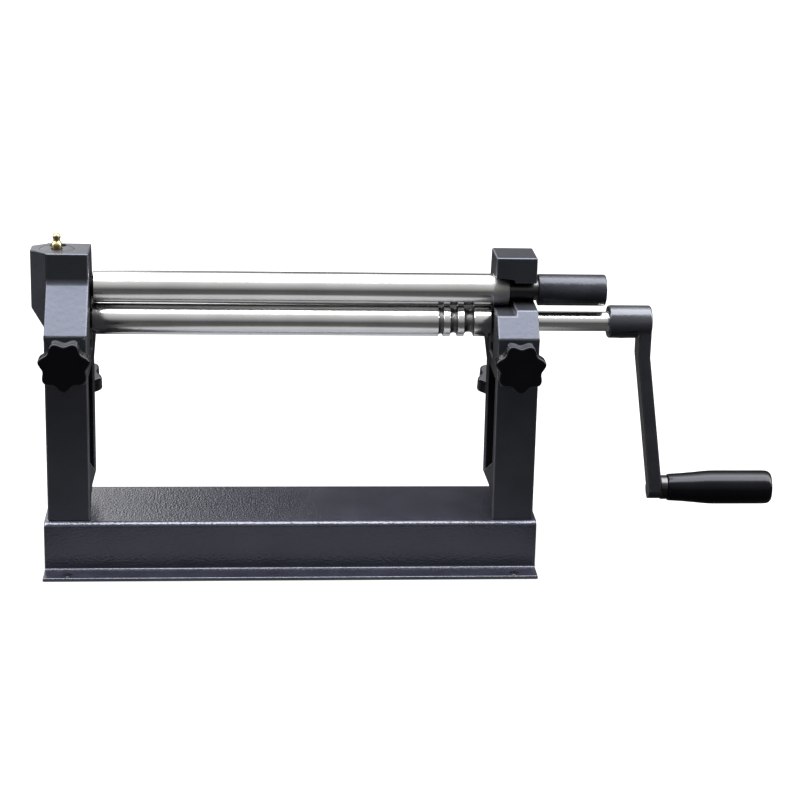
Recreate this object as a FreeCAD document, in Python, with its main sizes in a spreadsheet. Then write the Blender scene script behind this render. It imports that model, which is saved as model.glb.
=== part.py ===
import math
import os
import re

import FreeCAD
import Part
import Sketcher

# Origin: centre of the four bench bolt holes, on the bench plane.
# X runs along the rolls towards the crank, -Y faces the operator, Z is up.

SIZES = [
    ("endPlay", "1.5", "lower roll end to housing"),
    ("baseLip", "2.9", "base beyond the housings"),
    ("mountInset", "18.7", "bench hole from the base end"),
    ("blockLong", "21", "bearing blocks along X"),
    ("pivotDeep", "25.4", "pivot axis inside the left housing"),
    ("handleLong", "55.3", "pull handle"),
    ("hubGap", "61", "housing to crank hub"),
    ("armThick", "10.1", "arm at the hub along X"),
    ("footThick", "10.4", "arm at the grip along X"),
    ("gripLong", "87.6", "grip"),
    ("rollRadius", "12.7", "all three rolls"),
    ("rollNip", "0.7", "opening under the upper roll at rest"),
    ("frontUp", "194.9", "front roll axis height at rest"),
    ("upperUp", "=frontUp + 2 * rollRadius + rollNip", "upper roll axis height"),
    ("rearUp", "=frontUp - 4.9", "rear roll axis height at rest"),
    ("frontScrewUp", "=frontUp - 20.4", "front screw axis height"),
    ("frontSlotTop", "=frontUp + 11", "top of the front slot"),
    ("frontSlotFloor", "=frontUp - 27.9", "floor of the front slot"),
    ("legTop", "=frontUp - 38.9", "top of the leg and of its recess"),
    ("slopeFoot", "=frontUp - 2.4", "foot of the sloped front face"),
    ("slopeHead", "=upperUp + 7", "top of the sloped front face"),
    ("neckUp", "=upperUp + 8", "height where the back starts to lean"),
    ("headTop", "=upperUp + 30", "top of the head"),
    ("cupFloor", "=headTop - 0.6", "seat of the grease nipple"),
    ("oilFloor", "=headTop - 3", "floor of the oil pocket"),
    ("trunnionFoot", "=upperUp - 11.9", "bottom of the pivot block"),
    ("boreFloor", "=trunnionFoot - 0.2", "bottom of the pivot bore"),
    ("bulgeFoot", "=upperUp - 34", "foot of the pivot boss"),
    ("bulgeSide", "=bulgeFoot + 17", "foot of the vertical side of the boss"),
    ("sheetThick", "3", "wall of the folded base"),
    ("baseTop", "42", "top of the base above the bench"),
    ("webHalf", "45.5", "half the width over the folded webs"),
    ("flangeHalf", "65.5", "half the width over the flanges"),
    ("mountY", "58.5", "half the bolt spacing along Y"),
    ("mountRadius", "4.1", "bench bolt hole"),
    ("housingWide", "33", "housing width along X"),
    ("footFront", "-40.5", "front face of the leg"),
    ("legBack", "38", "back face of the leg"),
    ("headFront", "-9.5", "front face of the head"),
    ("headBack", "28", "back edge of the head's top"),
    ("neckBack", "33", "back of the head behind the upper roll"),
    ("rollY", "8.5", "axis of the upper and front rolls"),
    ("rollHalf", "158.5", "half the length of the lower rolls"),
    ("innerX", "=rollHalf + endPlay", "inner face of a housing"),
    ("outerX", "=innerX + housingWide", "outer face of a housing"),
    ("baseHalf", "=outerX + baseLip", "half the length of the base"),
    ("mountX", "=baseHalf - mountInset", "half the bolt spacing along X"),
    ("running", "0.05", "radial running clearance"),
    ("gap", "0.3", "clearance of sliding and loose fits"),
    ("lean", "25", "degrees the rear slide leans forward"),
    ("leanSine", "=sin(lean * 1deg)", "forward part of the rear slide"),
    ("leanCosine", "=cos(lean * 1deg)", "upward part of the rear slide"),
    ("rearY", "40.5", "rear roll axis at rest"),
    ("rearBlockHalf", "9", "half the side of a rear block"),
    ("rearLow", "17.3", "rear slot below the axis"),
    ("rearHigh", "19.3", "rear slot above the axis"),
    ("bossLow", "31", "threaded rear boss below the axis"),
    ("bossHigh", "25", "rear bulge above the axis"),
    ("bossHalf", "14", "half the thickness of the rear bulge"),
    ("bossRise", "=bossLow * leanCosine", "drop to the boss end"),
    ("bossReach", "=bossLow * leanSine", "reach to the boss end"),
    ("blockFace", "=innerX + 0.5", "inner face of the bearing blocks"),
    ("blockEnd", "=blockFace + blockLong", "outer face of the bearing blocks"),
    ("slotEnd", "=blockEnd + 0.5", "outer end of the block slots"),
    ("frontHalf", "11", "half the width of a front block"),
    ("frontAbove", "10", "front block above the axis"),
    ("frontBelow", "9.5", "front block body below the axis"),
    ("screwX", "=innerX + 16", "adjusting screws along X"),
    ("pinRadius", "6", "wedge pin"),
    ("pinTip", "21", "back end of the wedge pin"),
    ("pinFoot", "-4", "front end of the wedge pin"),
    ("pinHoleEnd", "27.5", "end of the wedge pin bore"),
    ("pinHoleStart", "-10", "front end of the wedge pin bore"),
    ("rampSlope", "0.2857142857142857", "rise of the wedge per length"),
    ("rampUp", "2.5", "wedge face above its axis under the roll"),
    ("footHalf", "6", "half the foot of a front block"),
    ("rampGap", "0.04", "oil film between wedge and block"),
    ("screwRadius", "5", "adjusting screw shank"),
    ("frontScrewLong", "57", "front adjusting screw"),
    ("rearScrewLong", "71", "rear adjusting screw"),
    ("rearTip", "6", "rear screw tip below the rear roll axis"),
    ("rearTipRadius", "4", "rear screw tip"),
    ("tipLong", "3.6", "turned tip of a screw"),
    ("frontKnobAt", "53.5", "front knob centre from the screw tip"),
    ("rearKnobAt", "64.7", "rear knob centre from the screw tip"),
    ("knobRadius", "20.4", "over the lobes of a knob"),
    ("knobThick", "13", "knob rim"),
    ("valleyRadius", "6", "cutter between two lobes"),
    ("valleyAt", "23.2", "cutter centre from the knob axis"),
    ("lobeRound", "3.2", "rounding of each lobe"),
    ("hubRadius", "9", "knob hub"),
    ("hubLong", "4.5", "knob hub"),
    ("journalRadius", "8", "front roll shaft"),
    ("journalEnd", "=blockEnd - 0.5", "inner journals of the lower rolls"),
    ("rearJournal", "5.5", "rear roll journal"),
    ("shaftHole", "9.6", "shaft hole in the right housing"),
    ("trunnionX", "=0 - innerX - pivotDeep", "pivot of the upper roll"),
    ("trunnionRadius", "13.5", "pivot block"),
    ("bushRadius", "9.7", "outside of the bronze bush"),
    ("bushEnd", "=trunnionX + 9.1", "right end of the bronze bush"),
    ("upperJournal", "8", "upper roll journal in the bush"),
    ("upperStart", "=trunnionX - 8.1", "left end of the upper roll"),
    ("upperShoulder", "=1.1 - rollHalf", "left shoulder of the upper roll"),
    ("shoulderChamfer", "0.6", "chamfer of the left shoulder"),
    ("upperEnd", "=innerX + 12", "right shoulder of the upper roll"),
    ("noseRadius", "8.7", "right journal of the upper roll"),
    ("notchStep", "=upperEnd + 3.5", "step of the open notch"),
    ("notchRadius", "13", "half the height of the notch inside"),
    ("notchNose", "9.1", "half the height of the notch outside"),
    ("windowRadius", "8.6", "swing window"),
    ("windowFront", "4.2", "front centre of the swing window"),
    ("handleStart", "=outerX + 2.8", "pull handle"),
    ("handleEnd", "=handleStart + handleLong", "pull handle"),
    ("noseEnd", "=handleEnd - 13.1", "end of the right journal"),
    ("lockX", "=handleStart + 28.2", "set screw of the pull handle"),
    ("bulgeX", "=outerX + 13", "outer face of the pivot boss"),
    ("bulgeNear", "4", "front end of the boss face"),
    ("bulgeFar", "19.5", "back end of the boss face"),
    ("cupRadius", "4.6", "seat of the grease nipple"),
    ("oilBack", "11.9", "oil pocket behind the grease nipple"),
    ("oilRadius", "6.6", "oil pocket across the pivot seam"),
    ("nippleThread", "2.9", "grease nipple thread"),
    ("nippleHex", "4.3", "grease nipple body"),
    ("nippleNeck", "2.5", "grease nipple neck"),
    ("nippleBall", "3.1", "grease nipple ball"),
    ("nippleTop", "13.1", "grease nipple above its seat"),
    ("recessX", "=outerX - 8", "depth of the leg recess"),
    ("recessFront", "-28", "front edge of the leg recess"),
    ("recessBack", "27", "back edge of the leg recess"),
    ("recessFoot", "62", "foot of the leg recess at the back"),
    ("recessRise", "25", "climb of the recess foot to the front"),
    ("archFront", "-30", "front end of the foot arch"),
    ("archTop", "60", "crown of the foot arch"),
    ("boltBoss", "7.5", "boss round the back housing bolt"),
    ("bossTall", "18", "height of that boss"),
    ("bodyCut", "20", "past the side of whatever is cut"),
    ("archX", "=outerX - 10", "depth of the foot arch"),
    ("boltRadius", "3", "housing bolt shank"),
    ("boltFrontX", "=screwX", "front housing bolt"),
    ("boltFrontY", "-34.4", "front housing bolt"),
    ("boltBackX", "=outerX - 9.5", "back housing bolt"),
    ("boltBackY", "24", "back housing bolt"),
    ("boltTop", "56", "top end of the housing bolts"),
    ("washerRadius", "6.2", "housing washer"),
    ("washerThick", "1.6", "housing washer"),
    ("headHigh", "4", "housing bolt head"),
    ("boltHead", "5.8", "housing bolt head across corners, half"),
    ("hubStart", "=outerX + hubGap", "crank hub"),
    ("armTop", "=hubStart + 25.5", "inner side of the crank arm at the hub"),
    ("crankHub", "13.35", "crank hub radius"),
    ("armWide", "11.8", "half the width of the arm at the hub"),
    ("armOut", "=armTop + armThick", "outer side of the crank arm at the hub"),
    ("shaftEnd", "=armOut - 0.6", "crank end of the shaft"),
    ("armBend", "-28", "bend of the arm below the shaft"),
    ("footIn", "=armTop + 15.5", "inner side of the arm at the grip"),
    ("footOut", "=footIn + footThick", "outer side of the arm at the grip"),
    ("collarRadius", "10", "spacing collar between arm and grip"),
    ("throw", "142.4", "shaft axis to grip axis"),
    ("armEnd", "9.3", "rounded lower end of the arm"),
    ("gripStart", "=footOut + 6", "inner end of the grip"),
    ("gripEnd", "=gripStart + gripLong", "outer end of the grip"),
    ("gripNeck", "11.15", "grip radius at the inner end"),
    ("gripBelly", "14.15", "largest grip radius"),
    ("spindleRadius", "4", "grip spindle"),
    ("spindleHead", "6.8", "grip spindle head"),
    ("spindleIn", "=footIn + 1.6", "inner end of the spindle"),
    ("spindleSeat", "=gripEnd - 8", "seat of the spindle head"),
    ("spindleEnd", "=gripEnd - 3", "outer end of the spindle head"),
    ("slotA", "2", "narrow wire groove"),
    ("slotB", "3", "middle wire groove"),
    ("slotC", "4", "wide wire groove"),
    ("slotCX", "=rollHalf - 17.9", "wide wire groove"),
    ("slotBX", "=slotCX - 12.2", "middle wire groove"),
    ("slotAX", "=slotBX - 10.4", "narrow wire groove"),
    ("setRadius", "2.5", "set screws"),
]

doc = FreeCAD.newDocument("slip_roll")
sheet = doc.addObject("Spreadsheet::Sheet", "Sizes")
for row, (alias, text, note) in enumerate(SIZES, start=1):
    sheet.set(f"A{row}", note)
    sheet.set(f"B{row}", text)
    sheet.setAlias(f"B{row}", alias)
doc.recompute()

words = {alias for alias, text, note in SIZES}
nodes = []


def bound(text):
    """Point every size word in an expression at the sheet."""
    def swap(match):
        word = match.group(0)
        return f"Sizes.{word}" if word in words else word
    return re.sub(r"[A-Za-z]\w*", swap, text)


def new_body(label, place=("0", "0", "0"), tilt=None):
    body = doc.addObject("PartDesign::Body", label)
    body.Label = label
    if tilt is not None:
        body.Placement = FreeCAD.Placement(
            FreeCAD.Vector(),
            FreeCAD.Rotation(FreeCAD.Vector(1, 0, 0), 1),
        )
        body.setExpression("Placement.Rotation.Angle", bound(tilt))
    for letter, text in zip("xyz", place):
        body.setExpression(f"Placement.Base.{letter}", bound(text))
    nodes.append(body)
    return body


def new_sketch(body, plane, offset):
    sketch = body.newObject("Sketcher::SketchObject", f"{body.Name}_sketch")
    role = f"{plane}_Plane"
    origin = [f for f in body.Origin.OriginFeatures if f.Role == role][0]
    sketch.AttachmentSupport = [(origin, "")]
    sketch.MapMode = "FlatFace"
    if offset is not None:
        sketch.setExpression("AttachmentOffset.Base.z", bound(offset))
    return sketch


def fix_point(sketch, shape, point, across, up):
    for kind, text in (("DistanceX", across), ("DistanceY", up)):
        rule = Sketcher.Constraint(kind, -1, 1, shape, point, 1.0)
        number = sketch.addConstraint(rule)
        sketch.setExpression(f"Constraints[{number}]", bound(text))


def outline(body, plane, corners, offset=None):
    """A closed polygon with each corner tied to the sheet."""
    sketch = new_sketch(body, plane, offset)
    count = len(corners)
    start = []
    for index in range(count):
        turn = 2 * math.pi * index / count
        start.append(FreeCAD.Vector(20 * math.cos(turn), 20 * math.sin(turn), 0))
    for index in range(count):
        line = Part.LineSegment(start[index], start[(index + 1) % count])
        sketch.addGeometry(line, False)
    for index in range(count):
        rule = Sketcher.Constraint("Coincident", index, 2, (index + 1) % count, 1)
        sketch.addConstraint(rule)
    for index, (across, up) in enumerate(corners):
        fix_point(sketch, index, 1, across, up)
    return sketch


def rounds(body, plane, circles, offset=None):
    """Circles given as centre and radius, each tied to the sheet."""
    sketch = new_sketch(body, plane, offset)
    for index, (across, up, radius) in enumerate(circles):
        spot = FreeCAD.Vector(30 * index, 5, 0)
        circle = Part.Circle(spot, FreeCAD.Vector(0, 0, 1), 3)
        sketch.addGeometry(circle, False)
        number = sketch.addConstraint(Sketcher.Constraint("Radius", index, 1.0))
        sketch.setExpression(f"Constraints[{number}]", bound(radius))
        fix_point(sketch, index, 3, across, up)
    return sketch


def feature(body, kind, sketch, length=None, back=False):
    item = body.newObject(f"PartDesign::{kind}", f"{body.Name}_{kind}")
    item.Profile = sketch
    if length is not None:
        item.setExpression("Length", bound(length))
        item.Reversed = back
    sketch.Visibility = False
    body.Tip = item
    return item


def pad(body, sketch, length, back=False):
    return feature(body, "Pad", sketch, length, back)


def pocket(body, sketch, length, back=False):
    return feature(body, "Pocket", sketch, length, back)


def spin(body, corners, axis="H_Axis", plane="XZ"):
    sketch = outline(body, plane, corners)
    item = feature(body, "Revolution", sketch)
    item.ReferenceAxis = (sketch, [axis])
    item.Angle = 360
    return item


def ring_cut(body, sketch, axis="H_Axis"):
    item = feature(body, "Groove", sketch)
    item.ReferenceAxis = (sketch, [axis])
    item.Angle = 360
    return item


# Base: one folded sheet with a raised table and two bolting flanges.
base = new_body("base_channel")
hat = [
    ("-flangeHalf", "0"),
    ("-webHalf + sheetThick", "0"),
    ("-webHalf + sheetThick", "baseTop - sheetThick"),
    ("webHalf - sheetThick", "baseTop - sheetThick"),
    ("webHalf - sheetThick", "0"),
    ("flangeHalf", "0"),
    ("flangeHalf", "sheetThick"),
    ("webHalf", "sheetThick"),
    ("webHalf", "baseTop"),
    ("-webHalf", "baseTop"),
    ("-webHalf", "sheetThick"),
    ("-flangeHalf", "sheetThick"),
]
pad(base, outline(base, "YZ", hat, "-baseHalf"), "2 * baseHalf")
bench = []
for sideX in ("-", ""):
    for sideY in ("-", ""):
        bench.append((f"{sideX}mountX", f"{sideY}mountY", "mountRadius"))
pocket(base, rounds(base, "XY", bench), "2 * sheetThick", True)
BOLTS = []
for sideX in ("-", ""):
    BOLTS.append((f"{sideX}boltFrontX", "boltFrontY"))
    BOLTS.append((f"{sideX}boltBackX", "boltBackY"))
drilled = [(across, up, "boltRadius + gap") for across, up in BOLTS]
pocket(base, rounds(base, "XY", drilled, "baseTop + sheetThick"), "3 * sheetThick")


# Housings: a leg, a head and the slots that carry the rolls.
SIDE = [
    ("footFront", "baseTop"),
    ("legBack", "baseTop"),
    ("legBack", "legTop"),
    ("rearY + bossReach - bossHalf * leanCosine",
     "rearUp - bossRise - bossHalf * leanSine"),
    ("rearY + bossReach + bossHalf * leanCosine",
     "rearUp - bossRise + bossHalf * leanSine"),
    ("rearY - bossHigh * leanSine + bossHalf * leanCosine",
     "rearUp + bossHigh * leanCosine + bossHalf * leanSine"),
    ("neckBack", "neckUp"),
    ("headBack", "headTop"),
    ("headFront", "headTop"),
    ("headFront", "slopeHead"),
    ("footFront", "slopeFoot"),
]
RECESS = [
    ("recessFront", "recessFoot + recessRise"),
    ("recessBack", "recessFoot"),
    ("recessBack", "legTop"),
    ("recessFront", "legTop"),
]
ARCH = [
    ("archFront", "baseTop - 1"),
    ("legBack + 1", "baseTop - 1"),
    ("legBack + 1", "archTop - 3"),
    ("archFront + 22", "archTop"),
    ("archFront + 8", "archTop - 4"),
    ("archFront", "archTop - 13"),
]
FRONT_SLOT = [
    ("rollY - frontHalf - running", "frontSlotFloor"),
    ("rollY + frontHalf + running", "frontSlotFloor"),
    ("rollY + frontHalf + running", "frontSlotTop"),
    ("rollY - frontHalf - running", "frontSlotTop"),
]


def rear_corner(along, aside):
    """A corner in the leaning frame of the rear slide."""
    across = f"rearY - ({along}) * leanSine + ({aside}) * leanCosine"
    up = f"rearUp + ({along}) * leanCosine + ({aside}) * leanSine"
    return across, up


REAR_SLOT = [
    rear_corner("-rearLow", "-rearBlockHalf - running"),
    rear_corner("-rearLow", "rearBlockHalf + running"),
    rear_corner("rearHigh", "rearBlockHalf + running"),
    rear_corner("rearHigh", "-rearBlockHalf - running"),
]


def screw_hole(body, sign):
    """Threaded bore of a leaning rear screw, turned about its own axis."""
    frame = new_sketch(body, "YZ", f"{sign}screwX")
    radius = "(screwRadius + running)"
    low = "(-bossLow - 4)"
    corners = [
        rear_corner(low, "0"),
        rear_corner(low, radius),
        rear_corner("-10", radius),
        rear_corner("-10", "0"),
    ]
    spots = []
    for index in range(4):
        turn = math.pi * index / 2
        spots.append(FreeCAD.Vector(20 * math.cos(turn), 20 * math.sin(turn), 0))
    for index in range(4):
        line = Part.LineSegment(spots[index], spots[(index + 1) % 4])
        frame.addGeometry(line, False)
    axis = Part.LineSegment(FreeCAD.Vector(1, 2, 0), FreeCAD.Vector(3, 9, 0))
    frame.addGeometry(axis, True)
    for index in range(4):
        rule = Sketcher.Constraint("Coincident", index, 2, (index + 1) % 4, 1)
        frame.addConstraint(rule)
    for index, (across, up) in enumerate(corners):
        fix_point(frame, index, 1, across, up)
    fix_point(frame, 4, 1, *corners[0])
    fix_point(frame, 4, 2, *corners[3])
    return ring_cut(body, frame, "Axis0")


def build_housing(label, sign):
    right = sign == ""
    body = new_body(label)
    start = "innerX" if right else "-outerX"
    pad(body, outline(body, "YZ", SIDE, start), "housingWide")
    if not right:
        plan = [
            ("-outerX + 8", "headFront"),
            ("-outerX + 1", "headFront"),
            ("-bulgeX", "bulgeNear"),
            ("-bulgeX", "bulgeFar"),
            ("-outerX - 1", "headBack"),
            ("-outerX + 8", "headBack"),
        ]
        side = outline(body, "XY", plan, "bulgeFoot")
        pad(body, side, "headTop - bulgeFoot")
        under = [
            ("-bulgeX - 1", "bulgeFoot - 1"),
            ("-outerX", "bulgeFoot - 1"),
            ("-outerX", "bulgeFoot"),
            ("-bulgeX - 1", "bulgeSide + 1.4"),
        ]
        pocket(body, outline(body, "XZ", under, "bodyCut"), "5 * bodyCut")
    inner = f"{sign}innerX"
    inward = right
    pocket(body, outline(body, "YZ", RECESS, inner), "recessX - innerX", inward)
    pocket(body, outline(body, "YZ", ARCH, inner), "archX - innerX", inward)
    boss = [(f"{sign}boltBackX", "boltBackY", "boltBoss")]
    pad(body, rounds(body, "XY", boss, "baseTop"), "bossTall")
    pocket(body, outline(body, "YZ", FRONT_SLOT, inner), "slotEnd - innerX", inward)
    pocket(body, outline(body, "YZ", REAR_SLOT, inner), "slotEnd - innerX", inward)
    spot = f"{sign}screwX"
    bore = [(spot, "frontScrewUp", "pinRadius + running")]
    pocket(body, rounds(body, "XZ", bore, "-pinHoleEnd"),
           "pinHoleEnd - pinHoleStart", True)
    thread = [(spot, "frontScrewUp", "screwRadius + running")]
    pocket(body, rounds(body, "XZ", thread, "-pinHoleStart - 2"),
           "pinHoleStart + 4 - footFront", True)
    screw_hole(body, sign)
    holes = [(f"{sign}boltFrontX", "boltFrontY", "boltRadius + running"),
             (f"{sign}boltBackX", "boltBackY", "boltRadius + running")]
    pocket(body, rounds(body, "XY", holes, "baseTop - 1"), "boltTop + 2 - baseTop", True)
    if right:
        shaft = [("rollY", "frontUp", "shaftHole")]
        pocket(body, rounds(body, "YZ", shaft, "innerX"), "housingWide + 2", True)
        for radius, depth in (("notchRadius", "notchStep - innerX"),
                              ("notchNose", "housingWide + 2")):
            mouth = [
                ("footFront - 1", f"upperUp - {radius}"),
                ("rollY", f"upperUp - {radius}"),
                ("rollY", f"upperUp + {radius}"),
                ("footFront - 1", f"upperUp + {radius}"),
            ]
            pocket(body, outline(body, "YZ", mouth, "innerX"), depth, True)
            seat = [("rollY", "upperUp", radius)]
            pocket(body, rounds(body, "YZ", seat, "innerX"), depth, True)
    else:
        bore = [("trunnionX", "rollY", "trunnionRadius + running")]
        pocket(body, rounds(body, "XY", bore, "boreFloor"),
               "headTop + 1 - boreFloor", True)
        well = [("trunnionX", "rollY + oilBack", "oilRadius")]
        pocket(body, rounds(body, "XY", well, "oilFloor"), "10", True)
        slit = [
            ("windowFront", "upperUp - windowRadius"),
            ("rollY", "upperUp - windowRadius"),
            ("rollY", "upperUp + windowRadius"),
            ("windowFront", "upperUp + windowRadius"),
        ]
        pocket(body, outline(body, "YZ", slit, inner), "0 - bushEnd - innerX - gap")
        for across in ("windowFront", "rollY"):
            seat = [(across, "upperUp", "windowRadius")]
            pocket(body, rounds(body, "YZ", seat, inner), "0 - bushEnd - innerX - gap")
    return body


build_housing("left_housing", "-")
build_housing("right_housing", "")


def grouped(label, builder, places):
    """Identical fasteners as separate solids in one node."""
    pieces = []
    for index, place in enumerate(places):
        pieces.append(builder(f"{label}_{index + 1}", place))
    item = doc.addObject("Part::Compound", label)
    item.Label = label
    item.Links = pieces
    nodes.append(item)
    return item


def one_bolt(name, place):
    shank = doc.addObject("Part::Cylinder", f"{name}_shank")
    shank.setExpression("Radius", bound("boltRadius"))
    head = doc.addObject("Part::Prism", f"{name}_head")
    head.Polygon = 6
    head.setExpression("Circumradius", bound("boltHead"))
    head.setExpression("Height", bound("headHigh"))
    low = "baseTop - sheetThick - washerThick - headHigh"
    shank.setExpression("Height", bound("boltTop - baseTop + sheetThick + washerThick + 1"))
    for piece, up in ((shank, "baseTop - sheetThick - washerThick - 1"), (head, low)):
        for letter, text in zip("xyz", (place[0], place[1], up)):
            piece.setExpression(f"Placement.Base.{letter}", bound(text))
    bolt = doc.addObject("Part::Fuse", name)
    bolt.Base = shank
    bolt.Tool = head
    return bolt


def one_washer(name, place):
    disc = doc.addObject("Part::Cylinder", f"{name}_disc")
    disc.setExpression("Radius", bound("washerRadius"))
    disc.setExpression("Height", bound("washerThick"))
    hole = doc.addObject("Part::Cylinder", f"{name}_hole")
    hole.setExpression("Radius", bound("boltRadius + gap"))
    hole.setExpression("Height", bound("3 * washerThick"))
    low = "baseTop - sheetThick - washerThick"
    for piece, up in ((disc, low), (hole, low + " - washerThick")):
        for letter, text in zip("xyz", (place[0], place[1], up)):
            piece.setExpression(f"Placement.Base.{letter}", bound(text))
    washer = doc.addObject("Part::Cut", name)
    washer.Base = disc
    washer.Tool = hole
    return washer


grouped("housing_bolts", one_bolt, BOLTS)
grouped("housing_washers", one_washer, BOLTS)


# Upper roll with its swinging pivot block, origin on the pivot axis.
PIVOT = ("trunnionX", "rollY", "upperUp")
trunnion = new_body("trunnion", PIVOT)
pad(trunnion, rounds(trunnion, "XY", [("0", "0", "trunnionRadius")],
                     "trunnionFoot - upperUp"), "headTop - trunnionFoot")
pocket(trunnion, rounds(trunnion, "YZ", [("0", "0", "bushRadius")],
                        "upperStart - trunnionX - 1.5"), "40", True)
cup = rounds(trunnion, "XY", [("0", "0", "cupRadius")], "cupFloor - upperUp")
pocket(trunnion, cup, "10", True)
well = rounds(trunnion, "XY", [("0", "oilBack", "oilRadius")], "oilFloor - upperUp")
pocket(trunnion, well, "10", True)
drill = rounds(trunnion, "XY", [("0", "0", "nippleThread")], "0")
pocket(trunnion, drill, "40", True)

bush = new_body("trunnion_bush", PIVOT)
pad(bush, rounds(bush, "YZ", [("0", "0", "bushRadius")], "upperStart - trunnionX - 1"),
    "bushEnd - upperStart + 1")
pocket(bush, rounds(bush, "YZ", [("0", "0", "upperJournal + running")],
                    "upperStart - trunnionX - 2"), "40", True)
pocket(bush, rounds(bush, "XY", [("0", "0", "nippleThread - 1.4")], "0"), "15", True)

nipple = new_body("grease_nipple", ("trunnionX", "rollY", "cupFloor"))
spin(nipple, [
    ("0", "-8"),
    ("nippleThread", "-8"),
    ("nippleThread", "0"),
    ("nippleHex", "0"),
    ("nippleHex", "5"),
    ("nippleNeck", "nippleTop - 5.5"),
    ("nippleBall - 0.4", "nippleTop - 4.4"),
    ("nippleBall", "nippleTop - 3.4"),
    ("nippleBall", "nippleTop - 2"),
    ("nippleBall - 0.6", "nippleTop - 0.8"),
    ("nippleBall - 1.6", "nippleTop"),
    ("0", "nippleTop"),
], "V_Axis")

UPPER = ("0", "rollY", "upperUp")
upper = new_body("upper_roll", UPPER)
spin(upper, [
    ("upperStart", "0"),
    ("upperStart", "upperJournal"),
    ("upperShoulder", "upperJournal"),
    ("upperShoulder", "rollRadius - shoulderChamfer"),
    ("upperShoulder + shoulderChamfer", "rollRadius"),
    ("upperEnd", "rollRadius"),
    ("upperEnd", "noseRadius"),
    ("noseEnd", "noseRadius"),
    ("noseEnd", "0"),
])
handle = new_body("pull_handle", UPPER)
spin(handle, [
    ("handleStart", "noseRadius"),
    ("handleStart", "rollRadius"),
    ("handleEnd - 1.2", "rollRadius"),
    ("handleEnd", "rollRadius - 1.2"),
    ("handleEnd", "0"),
    ("noseEnd", "0"),
    ("noseEnd", "noseRadius"),
])
pocket(handle, rounds(handle, "XY", [("lockX", "0", "setRadius")]), "20")
lock = new_body("handle_set_screw", UPPER)
pad(lock, rounds(lock, "XY", [("lockX", "0", "setRadius")], "-noseRadius"), "3.2", True)

# Front roll with the crank, origin on its own axis.
FRONT = ("0", "rollY", "frontUp")
front = new_body("front_roll", FRONT)
spin(front, [
    ("-journalEnd", "0"),
    ("-journalEnd", "journalRadius"),
    ("-rollHalf", "journalRadius"),
    ("-rollHalf", "rollRadius"),
    ("rollHalf", "rollRadius"),
    ("rollHalf", "journalRadius"),
    ("shaftEnd", "journalRadius"),
    ("shaftEnd", "0"),
])
wires = [("slotAX", "rollRadius", "slotA"), ("slotBX", "rollRadius", "slotB"),
         ("slotCX", "rollRadius", "slotC")]
ring_cut(front, rounds(front, "XZ", wires))

arm = new_body("crank_arm", FRONT)
pad(arm, outline(arm, "YZ", [
    ("-armWide", "0"),
    ("-armEnd", "-throw"),
    ("armEnd", "-throw"),
    ("armWide", "0"),
], "armTop"), "footOut - armTop")
pad(arm, rounds(arm, "YZ", [("0", "-throw", "armEnd")], "armTop"), "footOut - armTop")
bend_in = [
    ("armTop - 2", "armBend"),
    ("armTop", "armBend"),
    ("footIn", "-throw"),
    ("footIn", "-throw - bodyCut"),
    ("armTop - 2", "-throw - bodyCut"),
]
pocket(arm, outline(arm, "XZ", bend_in, "30"), "60")
bend_out = [
    ("armOut", "bodyCut"),
    ("armOut", "armBend"),
    ("footOut", "-throw + 6"),
    ("footOut + 2", "-throw + 6"),
    ("footOut + 2", "bodyCut"),
]
pocket(arm, outline(arm, "XZ", bend_out, "30"), "60")
pad(arm, rounds(arm, "YZ", [("0", "0", "crankHub")], "hubStart"), "armOut - hubStart")
pocket(arm, rounds(arm, "YZ", [("0", "0", "journalRadius")], "hubStart - 1"),
       "shaftEnd - hubStart + 1", True)
pocket(arm, rounds(arm, "XY", [("hubStart + 12", "0", "setRadius")], "5"), "20")
pocket(arm, rounds(arm, "YZ", [("0", "-throw", "spindleRadius")], "spindleIn"),
       "40", True)
grub = new_body("crank_set_screw", FRONT)
pad(grub, rounds(grub, "XY", [("hubStart + 12", "0", "setRadius")], "-journalRadius"), "5.4", True)

GRIP = ("0", "rollY", "frontUp - throw")
spindle = new_body("grip_spindle", GRIP)
spin(spindle, [
    ("spindleIn", "0"),
    ("spindleIn", "spindleRadius"),
    ("spindleSeat", "spindleRadius"),
    ("spindleSeat", "spindleHead"),
    ("spindleEnd", "spindleHead"),
    ("spindleEnd", "0"),
])
collar = new_body("grip_collar", GRIP)
spin(collar, [
    ("footOut", "spindleRadius + gap"),
    ("footOut", "collarRadius"),
    ("gripStart - gap", "collarRadius"),
    ("gripStart - gap", "spindleRadius + gap"),
])
grip = new_body("crank_grip", GRIP)
spin(grip, [
    ("gripStart", "spindleRadius + running"),
    ("gripStart", "gripNeck - 1.2"),
    ("gripStart + 1.2", "gripNeck"),
    ("gripStart + 12", "gripNeck + 0.75"),
    ("gripStart + 24", "gripBelly - 1.1"),
    ("gripStart + 36", "gripBelly"),
    ("gripEnd - 5", "gripBelly"),
    ("gripEnd - 2.6", "gripBelly - 0.6"),
    ("gripEnd - 0.8", "gripBelly - 2"),
    ("gripEnd", "gripBelly - 3.8"),
    ("gripEnd", "spindleHead + 0.4"),
    ("spindleSeat", "spindleHead + running"),
    ("spindleSeat", "spindleRadius + running"),
])

# Rear roll, origin on its own axis.
rear = new_body("rear_roll", ("0", "rearY", "rearUp"))
spin(rear, [
    ("-journalEnd", "0"),
    ("-journalEnd", "rearJournal"),
    ("-rollHalf", "rearJournal"),
    ("-rollHalf", "rollRadius"),
    ("rollHalf", "rollRadius"),
    ("rollHalf", "rearJournal"),
    ("journalEnd", "rearJournal"),
    ("journalEnd", "0"),
])


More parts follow.
